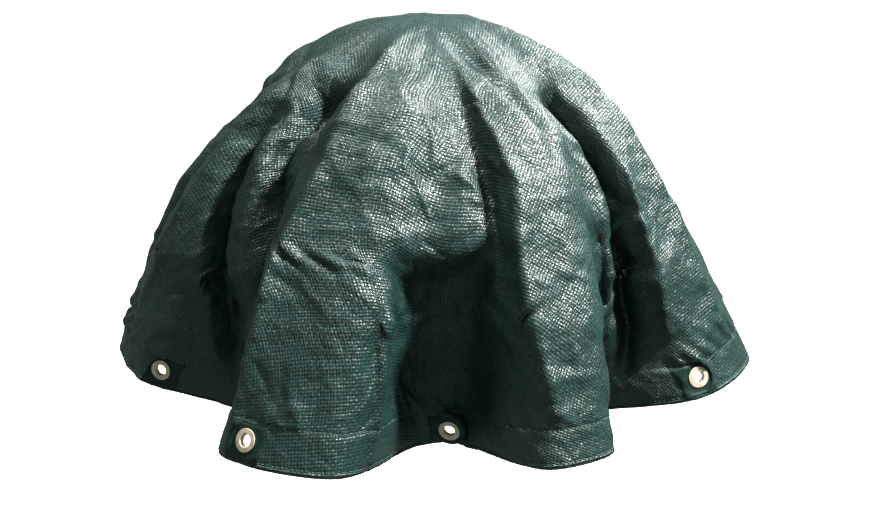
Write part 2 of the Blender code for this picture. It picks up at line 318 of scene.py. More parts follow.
def drape(reach, turn):
    """Points of the drawn drape's inner face, one for each pair of reach and turn."""
    outward = at_bearing(np.ones(len(turn)), turn, np.zeros(len(turn)))
    knots = np.array((CROWN,) + RING_REACH)
    spread = even_turns(turn)
    rings = np.stack([CROWN * outward] + [around(FOLD_TURNS, ring, spread) for ring in FOLD_RINGS])
    runs = np.diff(rings, axis=0) / np.diff(knots)[:, None, None]
    slopes = np.concatenate([outward[None], (runs[:-1] + runs[1:]) / 2, runs[-1:]])
    low = np.clip(np.searchsorted(knots, reach, side="left") - 1, 0, len(knots) - 2)
    width = (knots[low + 1] - knots[low])[:, None]
    u = (reach - knots[low])[:, None] / width
    own = np.arange(len(turn))
    points = hermite(rings[low, own], slopes[low, own] * width,
                     rings[low + 1, own], slopes[low + 1, own] * width, u)
    flat = reach <= CROWN
    points[flat] = reach[flat, None] * outward[flat]
    return points


def polar_places():
    """Reaches of the rings and turns of the spokes that the drape is evened on."""
    return (np.linspace(0, CUT_RADIUS, EVEN_RINGS + 1), np.linspace(-pi, pi, EVEN_SPOKES + 1))


def evened(line, places):
    """A line's points moved along it, so that equal steps of the places are equal lengths."""
    lengths = np.linalg.norm(np.diff(line, axis=0), axis=1)
    share = np.concatenate([[0], np.cumsum(lengths)])
    if share[-1] == 0:
        return line
    share = share / share[-1] * (places[-1] - places[0]) + places[0]
    moved = np.interp(places, share, places)
    if np.allclose(line[0], line[-1]):
        span = places[-1] - places[0]
        moved = (moved - np.mean(moved - places) - places[0]) % span + places[0]
    return np.stack([np.interp(moved, places, line[:, axis]) for axis in range(3)], -1)


def share_out(table):
    """Rings and then spokes of cloth points evened, so that no part is stretched or bunched."""
    reaches, turns = polar_places()
    table = np.stack([evened(ring, turns) for ring in table])
    table[:, -1] = table[:, 0]
    return np.stack([evened(table[:, k], reaches) for k in range(table.shape[1])], 1)


def drawn_table():
    """The part's drape on rings and spokes, with the pleats drawn over it."""
    reaches, turns = polar_places()
    plain_drape = np.stack([drape(np.full(len(turns), reach), turns) for reach in reaches])
    return share_out(pleated(share_out(plain_drape)))


def back_pleats():
    """Pleats round the back, raised and sunk by turns, in the form of PLEATS."""
    chance = np.random.default_rng(7)
    turn = BACK_TURNS[0]
    span = (BACK_TURNS[1] - BACK_TURNS[0]) / BACK_PLEATS
    for k in range(BACK_PLEATS):
        start = chance.uniform(*BACK_START)
        lean = chance.uniform(-BACK_LEAN, BACK_LEAN)
        height = chance.uniform(*BACK_HEIGHT) * (1 if k % 2 else -1)
        place = turn + chance.uniform(-0.25, 0.25) * span
        yield chance.uniform(*BACK_WIDTH), (
            (start, place - lean, 0.0), (start + 0.08, place, height),
            (start + 0.20, place + lean / 2, height), (0.52, place + lean, 0.0))
        turn += span


def pleat_height(reach, turn):
    """How far all the pleats together stand off the drape."""
    total = np.zeros(np.shape(reach))
    for half_width, line in (*PLEATS, *back_pleats()):
        at, turns, heights = (np.array(column, float) for column in zip(*line))
        middle = np.radians(np.interp(reach, at, turns))
        off = (turn - middle + pi) % (2 * pi) - pi
        height = np.interp(reach, at, heights, left=0.0, right=0.0)
        away = np.abs(off * reach / half_width)
        total += height * np.where(height > 0, np.exp(-RIDGE_SHARPNESS * away),
                                   np.exp(-away ** 2))
    return total


def pleated(table):
    """The evened drape with its pleats."""
    reach, turn = np.meshgrid(*polar_places(), indexing="ij")
    normals = np.cross(np.gradient(table, axis=1), np.gradient(table, axis=0))
    normals /= np.maximum(np.linalg.norm(normals, axis=-1), 1e-9)[..., None]
    normals *= np.sign(normals[5, :, 2].mean())
    return table + normals * pleat_height(reach, turn)[..., None]


def read_even(table, reach, turn):
    """Points of the evened drape at these places of the cloth."""
    rows = reach / CUT_RADIUS * EVEN_RINGS
    columns = (turn + pi) / (2 * pi) * EVEN_SPOKES
    return read_grid(table, rows, columns)


# ---- the cloth grid: square cells wrapped onto the round cut ----
def disc_grid(radii):
    """Flat X and Y of a square grid whose rings are circles of these radii, and whose
    four distorted corners lie between eyelets."""
    rings = len(radii) - 1
    line = np.arange(-rings, rings + 1)
    a, b = np.meshgrid(line, line, indexing="ij")
    side = np.abs(a) > np.abs(b)
    ring = np.maximum(np.abs(a), np.abs(b))
    safe_a, safe_b = np.where(a == 0, 1, a), np.where(b == 0, 1, b)
    angle = np.where(side, pi / 4 * b / safe_a, pi / 2 - pi / 4 * a / safe_b)
    angle = angle + np.where(side, a < 0, b < 0) * pi + pi / 4
    radius = np.asarray(radii)[ring]
    return np.stack([radius * np.cos(angle), radius * np.sin(angle)], -1)


def spoke(turn):
    """Flat direction from the centre at a turn."""
    return np.stack([np.sin(turn), -np.cos(turn)], -1)


def reach_turn(flat):
    return np.hypot(flat[..., 0], flat[..., 1]), np.arctan2(flat[..., 0], -flat[..., 1])


def grid_place(radii, reach, turn):
    """Where a reach and turn lie on the grid, in cells from its corner."""
    rings = len(radii) - 1
    ring = np.interp(reach, radii, np.arange(rings + 1))
    angle = (turn - pi / 2 - pi / 4) % (2 * pi)
    quarter = np.floor((angle + pi / 4) / (pi / 2)).astype(int) % 4
    slant = ((angle + pi / 4) % (pi / 2) - pi / 4) / (pi / 4) * ring
    a = np.choose(quarter, [ring, -slant, -ring, slant])
    b = np.choose(quarter, [slant, ring, -slant, -ring])
    return a + rings, b + rings


def read_grid(values, a, b):
    """Values between grid points, by cubic steps both ways."""
    total = 0
    weights = []
    for place, last in ((a, values.shape[0] - 1), (b, values.shape[1] - 1)):
        low = np.clip(np.floor(place).astype(int), 0, last - 1)
        t = place - low
        weights.append((low, (t * (t * (2 - t) - 1) / 2, (t * t * (3 * t - 5) + 2) / 2,
                              t * (t * (4 - 3 * t) + 1) / 2, t * t * (t - 1) / 2)))
    (low_a, weight_a), (low_b, weight_b) = weights
    for i in range(4):
        row = np.clip(low_a + i - 1, 0, values.shape[0] - 1)
        for j in range(4):
            column = np.clip(low_b + j - 1, 0, values.shape[1] - 1)
            total = total + (weight_a[i] * weight_b[j])[..., None] * values[row, column]
    return total


def grid_normals(points):
    """Outward direction at each grid point."""
    normals = np.cross(np.gradient(points, axis=0), np.gradient(points, axis=1))
    normals /= np.maximum(np.linalg.norm(normals, axis=-1), 1e-12)[..., None]
    centre = normals.shape[0] // 2
    return normals * np.sign(normals[centre, centre, 2])


# ---- the eyelets' places ----
def eyelet_turns():
    return np.radians(FIRST_EYELET + 360.0 / EYELETS * np.arange(EYELETS))


def eyelet_frames():
    """Frame of each eyelet on the sheet's inner face: X along the hem, Y up, Z outward."""
    top, foot = CUT_RADIUS - CELL_TOP, CUT_RADIUS - CELL_FOOT
    half = radians(CELL_TURN / 2)
    frames = []
    for turn in eyelet_turns():
        a, b, c, d = drape(np.array([top, top, foot, foot]),
                           turn + half * np.array([-1, 1, 1, -1]))
        outward = Vector(np.cross(c - a, b - d)).normalized()
        along = Vector(b + c - a - d)
        along = (along - outward * along.dot(outward)).normalized()
        made = Matrix((along, outward.cross(along), outward)).transposed().to_4x4()
        made.translation = (a + b + c + d) / 4
        frames.append(made)
    return frames


EYELET_FRAMES = eyelet_frames()
EYELET_REACH = CUT_RADIUS - (CELL_TOP + CELL_FOOT) / 2


def eyelet_axes(turn):
    """Flat centre of an eyelet, and flat directions along the hem and up the cloth."""
    away = spoke(turn)
    return EYELET_REACH * away, np.array([-away[1], away[0]]), -away


def near_eyelets(flat):
    """For each eyelet: flat distance, and the point that each flat place has on its plane."""
    for turn, eyelet in zip(eyelet_turns(), EYELET_FRAMES):
        centre, along, up = eyelet_axes(turn)
        offset = flat - centre
        x, y = offset @ along, offset @ up
        axes = np.array(eyelet.to_3x3()).T
        plane = np.array(eyelet.translation) + x[..., None] * axes[0] + y[..., None] * axes[1]
        yield np.hypot(x, y), plane


# ---- relaxing the cloth ----
def keep_off_kettle(points):
    """Push points out of the kettle and its lid handle."""
    radius = np.hypot(points[..., 0], points[..., 1])
    height = points[..., 2] - KETTLE_RIM
    tall = np.where(height > 0, LID_HEIGHT, BOWL_DEPTH)
    inside = ((radius / KETTLE_RADIUS) ** KETTLE_SQUARENESS
              + (np.abs(height) / tall) ** KETTLE_SQUARENESS) ** (1 / KETTLE_SQUARENESS)
    hit = inside < 1
    grow = 1 / np.maximum(inside[hit], 0.2)
    rim = np.array([0, 0, KETTLE_RIM])
    points[hit] = rim + (points[hit] - rim) * grow[:, None]
    axis = np.zeros_like(points)
    axis[..., 0] = np.clip(points[..., 0], -HANDLE_HALF, HANDLE_HALF)
    axis[..., 2] = -HANDLE_RADIUS
    away = points - axis
    far = np.linalg.norm(away, axis=-1)
    hit = far < HANDLE_RADIUS
    points[hit] = axis[hit] + away[hit] * (HANDLE_RADIUS / np.maximum(far[hit], 1e-6))[:, None]


def thread_sets(flat):
    """Pairs of neighbouring grid points in sets that share no point: slices, flat length, how
    firmly a diagonal is held, and how firmly a shortened thread is."""
    size = flat.shape[0]
    sets = []
    for da, db in ((1, 0), (0, 1), (1, 1), (1, -1)):
        for first in (0, 1):
            low, high = max(0, -db), size - max(0, db)
            if da:
                here = (slice(first, size - 1, 2), slice(low, high))
                there = (slice(first + 1, size, 2), slice(low + db, high + db))
            else:
                here = (slice(0, size), slice(first, size - 1, 2))
                there = (slice(0, size), slice(first + 1, size, 2))
            step = flat[there] - flat[here]
            length = np.linalg.norm(step, axis=-1)
            middle = flat[there] + flat[here]
            middle /= np.maximum(np.linalg.norm(middle, axis=-1), 1e-9)[..., None]
            radial = ((step * middle).sum(-1) / length) ** 2
            squeeze = SQUEEZE + (SPOKE_SQUEEZE - SQUEEZE) * radial
            sets.append((here, there, length, SHEAR if da and db else None, squeeze))
    return sets


def keep_length(points, free, here, there, length, shear, squeeze):
    """Bring each pair back towards its flat length."""
    step = points[there] - points[here]
    now = np.maximum(np.sqrt((step * step).sum(-1)), 1e-9)
    error = now - length
    share = np.where(error > 0, shear or 1.0, np.minimum(squeeze, shear or 1.0))
    weight = free[here] + free[there]
    step *= (share * error / (now * np.maximum(weight, 1e-9)))[..., None]
    points[here] += step * free[here][..., None]
    points[there] -= step * free[there][..., None]


def resist_bending(points, free):
    """Pull each point a little towards the middle of its neighbours, both ways."""
    for axis in (0, 1):
        rows = [slice(0, -2), slice(1, -1), slice(2, None)]
        before, middle, after = [(r, slice(None)) if axis == 0 else (slice(None), r) for r in rows]
        lift = BEND / 4 * ((points[before] + points[after]) / 2 - points[middle])
        points[middle] += 2 * lift * free[middle][..., None]
        points[before] -= lift * free[before][..., None]
        points[after] -= lift * free[after][..., None]


def relax(flat, points, target, steps, pull):
    """Let the cloth settle to its flat lengths over the kettle, near the drawn drape."""
    reach, _ = reach_turn(flat)
    free = (reach > CROWN).astype(float)
    for distance, plane in near_eyelets(flat):
        pinned = distance < FLAT_SPOT
        points[pinned] = plane[pinned]
        free[pinned] = 0
    at_hem = np.clip((reach - CUT_RADIUS + HEM_HOLD) / HEM_HOLD, 0, 1)
    hold = free * (pull + HEM_PULL * at_hem)
    sets = thread_sets(flat)
    speed = np.zeros_like(points)
    for _ in range(steps):
        before = points.copy()
        speed[..., 2] -= WEIGHT * STEP_TIME
        points += speed * STEP_TIME * free[..., None]
        points += (target - points) * hold[..., None]
        for threads in sets:
            keep_length(points, free, *threads)
        resist_bending(points, free)
        keep_off_kettle(points)
        speed = (points - before) / STEP_TIME * DAMPING
        fast = np.linalg.norm(speed, axis=-1, keepdims=True)
        speed *= np.minimum(1, TOP_SPEED / np.maximum(fast, 1e-9))
    return points


def relaxed_grid():
    """The settled cloth, solved on finer and finer grids."""
    points = radii = None
    table = drawn_table()
    for rings, steps, pull in zip(SOLVE_RINGS, SOLVE_STEPS, SOLVE_PULL):
        old = radii
        radii = np.linspace(0, CUT_RADIUS, rings + 1)
        flat = disc_grid(radii)
        reach, turn = reach_turn(flat)
        target = read_even(table, reach, turn)
        if points is None:
            points = target.copy()
        else:
            points = read_grid(points, *grid_place(old, reach, turn))
        points = relax(flat, points, target, steps, pull)
        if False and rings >= 50:
            break
    return radii, points


# ---- the visible cloth: a finer grid, with its small shapes ----
def visible_radii():
    top = CUT_RADIUS - HEM - HEM_STEP
    body = np.linspace(0, top, BODY_RINGS + 1)
    hem = np.linspace(top, CUT_RADIUS - ROLL_START, HEM_RINGS + 1)
    return np.concatenate([body, hem[1:]])


def facet_table(seed, size):
    """Square table of a surface of flat triangles, their corners at random heights."""
    chance = np.random.default_rng(seed)
    line = np.arange(-FACET_HALF, FACET_HALF + size, size)
    places = np.stack(np.meshgrid(line, line, indexing="ij"), -1).reshape(-1, 2)
    places = places + chance.uniform(-0.45, 0.45, places.shape) * size
    heights = chance.uniform(-0.5, 0.5, len(places))
    triangles = delaunay_2d_cdt([Vector(place) for place in places], [], [], 0, 1e-9)[2]
    cells = int(2 * FACET_HALF / CRUMPLE_CELL) + 1
    table = np.zeros((cells, cells, 1))
    for triangle in triangles:
        corners = (places[list(triangle)] + FACET_HALF) / CRUMPLE_CELL
        fill_triangle(table, corners, heights[list(triangle)])
    return table


def fill_triangle(table, corners, heights):
    """Write one flat triangle into the table."""
    low = np.clip(np.ceil(corners.min(axis=0)).astype(int), 0, len(table))
    high = np.clip(np.floor(corners.max(axis=0)).astype(int) + 1, 0, len(table))
    if (high <= low).any():
        return
    sides = (corners[1:] - corners[0]).T
    if abs(np.linalg.det(sides)) < 1e-9:
        return
    x, y = np.meshgrid(np.arange(low[0], high[0]), np.arange(low[1], high[1]), indexing="ij")
    share = np.stack([x - corners[0, 0], y - corners[0, 1]], -1) @ np.linalg.inv(sides).T
    inside = (share.min(axis=-1) >= -1e-6) & (share.sum(axis=-1) <= 1 + 1e-6)
    surface = heights[0] + share @ (heights[1:] - heights[0])
    window = table[low[0]:high[0], low[1]:high[1], 0]
    window[inside] = surface[inside]


def read_facets(table, flat, stretch, direction):
    """The table's heights at flat places, with its facets drawn out along one direction."""
    angle = radians(direction)
    along = (flat[..., 0] * np.cos(angle) + flat[..., 1] * np.sin(angle)) * stretch
    across = flat[..., 1] * np.cos(angle) - flat[..., 0] * np.sin(angle)
    rows = (along + FACET_HALF) / CRUMPLE_CELL
    columns = (across + FACET_HALF) / CRUMPLE_CELL
    return read_grid(table, rows, columns)[..., 0]


def single_creases():
    """Reach, turn, direction, half length, width and height of each loose crease."""
    chance = np.random.default_rng(11)
    for _ in range(CREASES):
        reach = CUT_RADIUS * chance.uniform(0.09, 1) ** 0.5
        turn = chance.uniform(-pi, pi)
        slant = radians(chance.choice(CREASE_SLANT, p=(0.7, 0.3)) + chance.normal(0, CREASE_SPREAD))
        half = chance.uniform(*CREASE_LENGTH) / 2
        width = chance.uniform(*CREASE_WIDTH)
        height = chance.uniform(*CREASE_HEIGHT) * chance.choice((1, 1, -1))
        yield reach, turn, turn - pi / 2 + slant, half, width, height


def gathers():
    """The same for the small folds round the lid handle."""
    chance = np.random.default_rng(5)
    for k in range(GATHERS):
        turn = 2 * pi * (k + chance.uniform(-0.35, 0.35)) / GATHERS
        half = chance.uniform(*GATHER_LENGTH) / 2
        height = chance.uniform(*GATHER_HEIGHT) * (1 if k % 2 else -1)
        yield GATHER_START + half, turn, turn - pi / 2, half, GATHER_WIDTH, height


class Cloth:
    """The finished outer face, read at any reach and turn."""

    def __init__(self):
        solved_radii, solved = relaxed_grid()
        self.radii = visible_radii()
        self.flat = disc_grid(self.radii)
        self.reach, self.turn = reach_turn(self.flat)
        self.points = read_grid(solved, *grid_place(solved_radii, self.reach, self.turn))
        self.normals = grid_normals(self.points)
        self.crumple()
        self.press_flat_spots()
        self.normals = grid_normals(self.points)
        self.points += self.normals * SKIN
        self.normals = grid_normals(self.points)

    def crumple(self):
        """Facets of crumpled film, creases, and the seams with their puckers."""
        amount = read_facets(facet_table(1, CRUMPLE_PATCH), self.flat, 1.0, 0.0)
        amount = CRUMPLE_LEAST + (1 - CRUMPLE_LEAST) * np.clip(amount + 0.5, 0, 1)
        to_hem = np.clip((self.reach - CUT_RADIUS + HEM) / HEM_STEP, 0, 1)
        amount *= 1 + (CRUMPLE_HEM - 1) * to_hem
        amount *= np.clip((self.reach - CROWN) / CRUMPLE_START, 0, 1)
        rise = np.zeros(self.reach.shape)
        for seed, (size, height, stretch, direction) in enumerate(CRUMPLES, start=2):
            table = facet_table(seed, size)
            rise += height * amount * read_facets(table, self.flat, stretch, direction)
        near_peak = np.clip((PEAK_CREASES - self.reach) / PEAK_BLEND, 0, 1)
        rise += self.creases() * (amount + (1 - amount) * near_peak)
        for seam in (LOWER_SEAM, UPPER_SEAM):
            off = (self.reach - CUT_RADIUS + seam) / SEAM_WIDTH
            rise -= SEAM_DIP * np.exp(-off ** 2)
            rise += PUCKER * self.puckers(seam) * np.exp(-(off / PUCKER_SPREAD) ** 2)
        self.points += self.normals * rise[..., None]

    def creases(self):
        """Sharp straight creases, steep on one side."""
        total = np.zeros(self.reach.shape)
        for reach, turn, slant, half, width, height in (*single_creases(), *gathers()):
            offset = self.flat - reach * spoke(turn)
            near = np.hypot(offset[..., 0], offset[..., 1]) < half + 3 * width
            x, y = offset[near].T
            along = x * np.cos(slant) + y * np.sin(slant)
            across = y * np.cos(slant) - x * np.sin(slant)
            across = np.where(across > 0, across, -2.5 * across) / width
            fade = np.clip(1 - (along / half) ** 2, 0, 1)
            total[near] += height * fade * np.exp(-across)
        return total

    def puckers(self, seam):
        """Uneven gathers along a seam."""
        chance = np.random.default_rng(int(seam * 1e4))
        knots = np.linspace(-pi, pi, PUCKERS)
        heights = chance.uniform(-1, 1, len(knots))
        heights[-1] = heights[0]
        return np.interp(self.turn, knots, heights)

    def press_flat_spots(self):
        """Lay the cloth flat under each eyelet."""
        for distance, plane in near_eyelets(self.flat):
            press = np.clip((FLAT_SPOT + FLAT_EDGE - distance) / FLAT_EDGE, 0, 1)[..., None]
            self.points += (plane - self.points) * (press * press * (3 - 2 * press))

    def at(self, reach, turn, rise=0.0):
        """Points this far outside the outer face, at these places of the cloth."""
        place = grid_place(self.radii, reach, turn)
        normal = read_grid(self.normals, *place)
        normal /= np.linalg.norm(normal, axis=-1)[..., None]
        return read_grid(self.points, *place) + normal * np.asarray(rise)[..., None]

    def frame_at(self, reach, turn):
        """Point, outward, up the cloth and along the hem, at each place."""
        point = self.at(reach, turn)
        outward = self.at(reach, turn, 0.001) - point
        outward /= np.linalg.norm(outward, axis=-1)[..., None]
        up = self.at(reach - 0.003, turn) - point
        up -= (up * outward).sum(-1)[..., None] * outward
        up /= np.linalg.norm(up, axis=-1)[..., None]
        return point, outward, up, np.cross(up, outward)


# ---- mesh helpers ----
def new_object(name, vertices, faces, finish):
    """One smooth mesh of the cover, with its material and slot."""
    mesh = bpy.data.meshes.new(name)
    mesh.from_pydata(np.asarray(vertices).tolist(), [], np.asarray(faces).tolist())
    mesh.shade_smooth()
    mesh.materials.append(finish)
    made = bpy.data.objects.new(name, mesh)
    bpy.context.collection.objects.link(made)
    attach(made, "root")
    return made


def loop_faces(rows, columns, first=0):
    """Quads of a band of rows that closes on itself along its columns."""
    index = first + np.arange(rows * columns).reshape(rows, columns)
    nxt = np.roll(index, -1, axis=1)
    return np.stack([index[:-1], nxt[:-1], nxt[1:], index[1:]], -1).reshape(-1, 4)


def grid_faces(size):
    """Quads of a square grid of points, numbered row by row."""
    index = np.arange(size * size).reshape(size, size)
    corners = [index[:-1, :-1], index[1:, :-1], index[1:, 1:], index[:-1, 1:]]
    return np.stack(corners, -1).reshape(-1, 4)


def band_faces(upper, lower):
    """Quads of the closed band between two rings of point numbers."""
    return np.stack([upper, np.roll(upper, -1), np.roll(lower, -1), lower], -1)


def store_flat(made, flat):
    """Keep the flat place of each corner as a UV map, for the weave."""
    layer = made.data.uv_layers.new(name="Flat")
    corners = np.zeros(len(made.data.loops), dtype=np.int32)
    made.data.loops.foreach_get("vertex_index", corners)
    layer.data.foreach_set("uv", np.asarray(flat)[corners].astype(np.float32).ravel())


def boundary_turns(rings):
    """Turns of the grid's outermost ring, in order round the hem."""
    return 2 * pi * np.arange(8 * rings) / (8 * rings)


# ---- the sheet and its hem ----
def eyelet_distance(flat):
    """Flat distance to the nearest eyelet's centre."""
    return np.min([distance for distance, _ in near_eyelets(flat)], axis=0)


def without_holes(faces, flat):
    """The faces outside the eyelets' holes, and their vertices renumbered."""
    kept = faces[eyelet_distance(flat[faces].mean(axis=1)) > HOLE_CLEARANCE]
    used = np.unique(kept)
    number = np.zeros(len(flat), int)
    number[used] = np.arange(len(used))
    return number[kept], used


def roll_section():
    """Angles of the turn round the rope, from the outer face down and inward."""
    return np.radians(np.linspace(0, ROLL_END, ROLL_STEPS + 1))[1:]


def cover_piece(cloth, finish):
    """The sheet, with its edge turned round the rope and tucked into the seam."""
    size = cloth.flat.shape[0]
    turns = boundary_turns(size // 2)
    edge_reach = np.full(len(turns), cloth.radii[-1])
    a, b = grid_place(cloth.radii, edge_reach, turns)
    edge = np.rint(a).astype(int) * size + np.rint(b).astype(int)
    point, outward, up, _ = cloth.frame_at(edge_reach, turns)
    centre = point - outward * ROLL_RADIUS
    rows = [centre + ROLL_RADIUS * (np.cos(angle) * outward - np.sin(angle) * up)
            for angle in roll_section()]
    along = cloth.radii[-1] + ROLL_RADIUS * roll_section()
    rows.append(cloth.at(edge_reach - TUCK, turns, -SKIN - GAP))
    rows_flat = [spoke(turns) * reach for reach in (*along, along[-1] + TUCK)]
    first = size * size
    count = len(turns)
    numbers = [edge] + [first + k * count + np.arange(count) for k in range(len(rows))]
    bands = [band_faces(upper, lower) for upper, lower in zip(numbers, numbers[1:])]
    points = np.concatenate([cloth.points.reshape(-1, 3)] + rows)
    flat = np.concatenate([cloth.flat.reshape(-1, 2)] + rows_flat)
    faces, used = without_holes(np.concatenate([grid_faces(size)] + bands), flat)
    made = new_object("cover", points[used], faces, finish)
    store_flat(made, flat[used])
    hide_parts("cover_sheet")
    return made


def facing_piece(cloth, finish):
    """Strip inside the hem, from the lower seam to the top seam."""
    turns = boundary_turns(cloth.flat.shape[0] // 2)
    reaches = np.linspace(CUT_RADIUS - HEM, CUT_RADIUS - LOWER_SEAM, FACING_ROWS)
    rises = np.full(FACING_ROWS, -FACING_DEPTH)
    rises[[0, -1]] = -SKIN - GAP / 2
    rows = []
    flat = []
    for reach, rise in zip(reaches, rises):
        rows.append(cloth.at(np.full(len(turns), reach), turns, np.full(len(turns), rise)))
        flat.append(reach * spoke(turns))
    faces, used = without_holes(loop_faces(FACING_ROWS, len(turns)), np.concatenate(flat))
    made = new_object("hem_facing_strip", np.concatenate(rows)[used], faces, finish)
    store_flat(made, np.concatenate(flat)[used])
    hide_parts("hem_facing")
    return made


def rope_piece(cloth, finish):
    """Three-strand rope inside the rolled edge."""
    turns = boundary_turns(cloth.flat.shape[0] // 4)
    reach = np.full(len(turns), cloth.radii[-1])
    point, outward, up, _ = cloth.frame_at(reach, turns)
    centre = point - outward * ROLL_RADIUS
    twist = np.arange(len(turns)) * 2 * pi * ROPE_TURNS / len(turns)
    rows = []
    for k in range(ROPE_SIDES):
        angle = 2 * pi * k / ROPE_SIDES
        wave = np.cos(STRANDS * (angle - twist))[:, None]
        radius = ROPE / 2 * (1 - STRAND_DEPTH + STRAND_DEPTH * wave)
        rows.append(centre + radius * (np.cos(angle) * outward + np.sin(angle) * up))
    points = np.concatenate(rows)
    faces = loop_faces(ROPE_SIDES + 1, len(turns)) % len(points)
    made = new_object("rope", points, faces, finish)
    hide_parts("hem_rope")
    return made


def stitch_piece(name, cloth, rise_from_edge, finish, stands_for):
    """A row of separate stitches, each dipping into the cloth at its ends."""
    reach = CUT_RADIUS - rise_from_edge
    count = int(2 * pi * reach / STITCH_PITCH)
    middle = 2 * pi * (np.arange(count) + 0.5) / count
    steps = np.linspace(-0.5, 0.5, len(STITCH_RISE)) * STITCH_LENGTH / reach
    turns = (middle[:, None] + steps).ravel()
    place = np.full(len(turns), reach)
    point, outward, up, _ = cloth.frame_at(place, turns)
    point = point + outward * np.tile(STITCH_RISE, count)[:, None]
    thick = np.tile(STITCH_THICK, count)[:, None]
    sides = []
    for k in range(STITCH_SIDES):
        angle = 2 * pi * k / STITCH_SIDES
        sides.append(point + thick * (np.cos(angle) * outward + np.sin(angle) * up))
    vertices = np.stack(sides, 1).reshape(-1, 3)
    ring = np.arange(STITCH_SIDES)
    section = np.stack([ring, np.roll(ring, -1), np.roll(ring, -1) + STITCH_SIDES,
                        ring + STITCH_SIDES], -1)
    per_stitch = len(STITCH_RISE)
    starts = np.arange(len(turns)).reshape(count, per_stitch)[:, :-1].ravel() * STITCH_SIDES
    faces = (starts[:, None, None] + section).reshape(-1, 4)
    made = new_object(name, vertices, faces, finish)
    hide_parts(stands_for)
    return made


# ---- patches, eyelets and washers ----
def patch_piece(number, cloth, turn, finish):
    """Smooth film patch lying on the hem round one eyelet."""
    across = np.linspace(-PATCH_HALF, PATCH_HALF, PATCH_CELLS + 1)
    upward = np.linspace(-PATCH_BELOW, PATCH_ABOVE, PATCH_CELLS + 1)
    x, y = np.meshgrid(across, upward, indexing="ij")
    centre, along, up = eyelet_axes(turn)
    flat = centre + x[..., None] * along + y[..., None] * up
    rise = np.full(x.shape, GAP + PATCH)
    rise[[0, -1]] = rise[:, [0, -1]] = PATCH_EDGE
    reach, place = reach_turn(flat)
    points = cloth.at(reach, place, rise).reshape(-1, 3)
    faces, used = without_holes(grid_faces(PATCH_CELLS + 1), flat.reshape(-1, 2))
    made = new_object(f"patch_{number:02d}", points[used], faces, finish)
    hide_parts(f"eyelet_patch_{number:02d}")
    return made


def arc(centre, radius, start, end, steps):
    """Points of an arc in a (radius, height) section, angles in degrees."""
    angles = np.radians(np.linspace(start, end, steps))
    return [(centre[0] + radius * np.cos(a), centre[1] + radius * np.sin(a)) for a in angles]


def turned_piece(name, profile, place, finish, stands_for):
    """Ring turned about its own Z from a closed section."""
    section = np.array(profile)
    angle = 2 * pi * np.arange(EYELET_SIDES) / EYELET_SIDES
    rows = np.stack([section[:, :1] * np.cos(angle), section[:, :1] * np.sin(angle),
                     np.repeat(section[:, 1:], EYELET_SIDES, axis=1)], -1)
    points = rows.reshape(-1, 3) @ np.array(place.to_3x3()).T + np.array(place.translation)
    faces = loop_faces(len(section) + 1, EYELET_SIDES) % len(points)
    made = new_object(name, points, faces, finish)
    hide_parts(stands_for)
    return made


def eyelet_piece(number, place, finish):
    """Domed flange with a rounded throat, barrel, and lip rolled over behind the washer."""
    hole, rim = EYELET_HOLE / 2, EYELET_OUTER / 2
    face = SHEET + PATCH + 2 * GAP
    top = face + EYELET_PROUD
    back = -(GAP + SHEET + GAP + WASHER + GAP)
    throat = 0.0010
    edge = 0.00045
    roll = (LIP_RADIUS - hole) / 2
    # the rounded throat, the dome falling away to the rim, and the rim's rounded edge
    section = arc((hole + throat, top - throat), throat, 180, 90, 7)
    section += [(hole + 0.0022, top - 0.00008), (hole + 0.0036, top - 0.00030)]
    section += arc((rim - edge, face + edge), edge, 75, -80, 6)
    # down the barrel, and the lip rolled outward behind the washer
    section += [(hole + EYELET_WALL, face), (hole + EYELET_WALL, back)]
    section += [(hole + roll * 1.2, back), (LIP_RADIUS, back)]
    section += arc((LIP_RADIUS - 0.0004, back - 0.0003), 0.0003, 0, -80, 4)
    section += [(hole + 0.0008, back - EYELET_WALL), (hole, back - 0.0001)]
    return turned_piece(f"eyelet_ring_{number:02d}", section, place, finish,
                        f"eyelet_{number:02d}")


def washer_piece(number, place, finish):
    """Flat ring that an eyelet is clinched over, inside the cover."""
    bore = EYELET_HOLE / 2 + EYELET_WALL + GAP
    rim = EYELET_OUTER / 2
    front = -(GAP + SHEET + GAP)
    half = WASHER / 2
    section = [(bore, front), (rim - half, front)]
    section += arc((rim - half, front - half), half, 70, -90, 5)
    section += [(bore + 0.0004, front - WASHER), (bore, front - WASHER + 0.0002)]
    return turned_piece(f"washer_{number:02d}", section, place, finish,
                        f"eyelet_washer_{number:02d}")


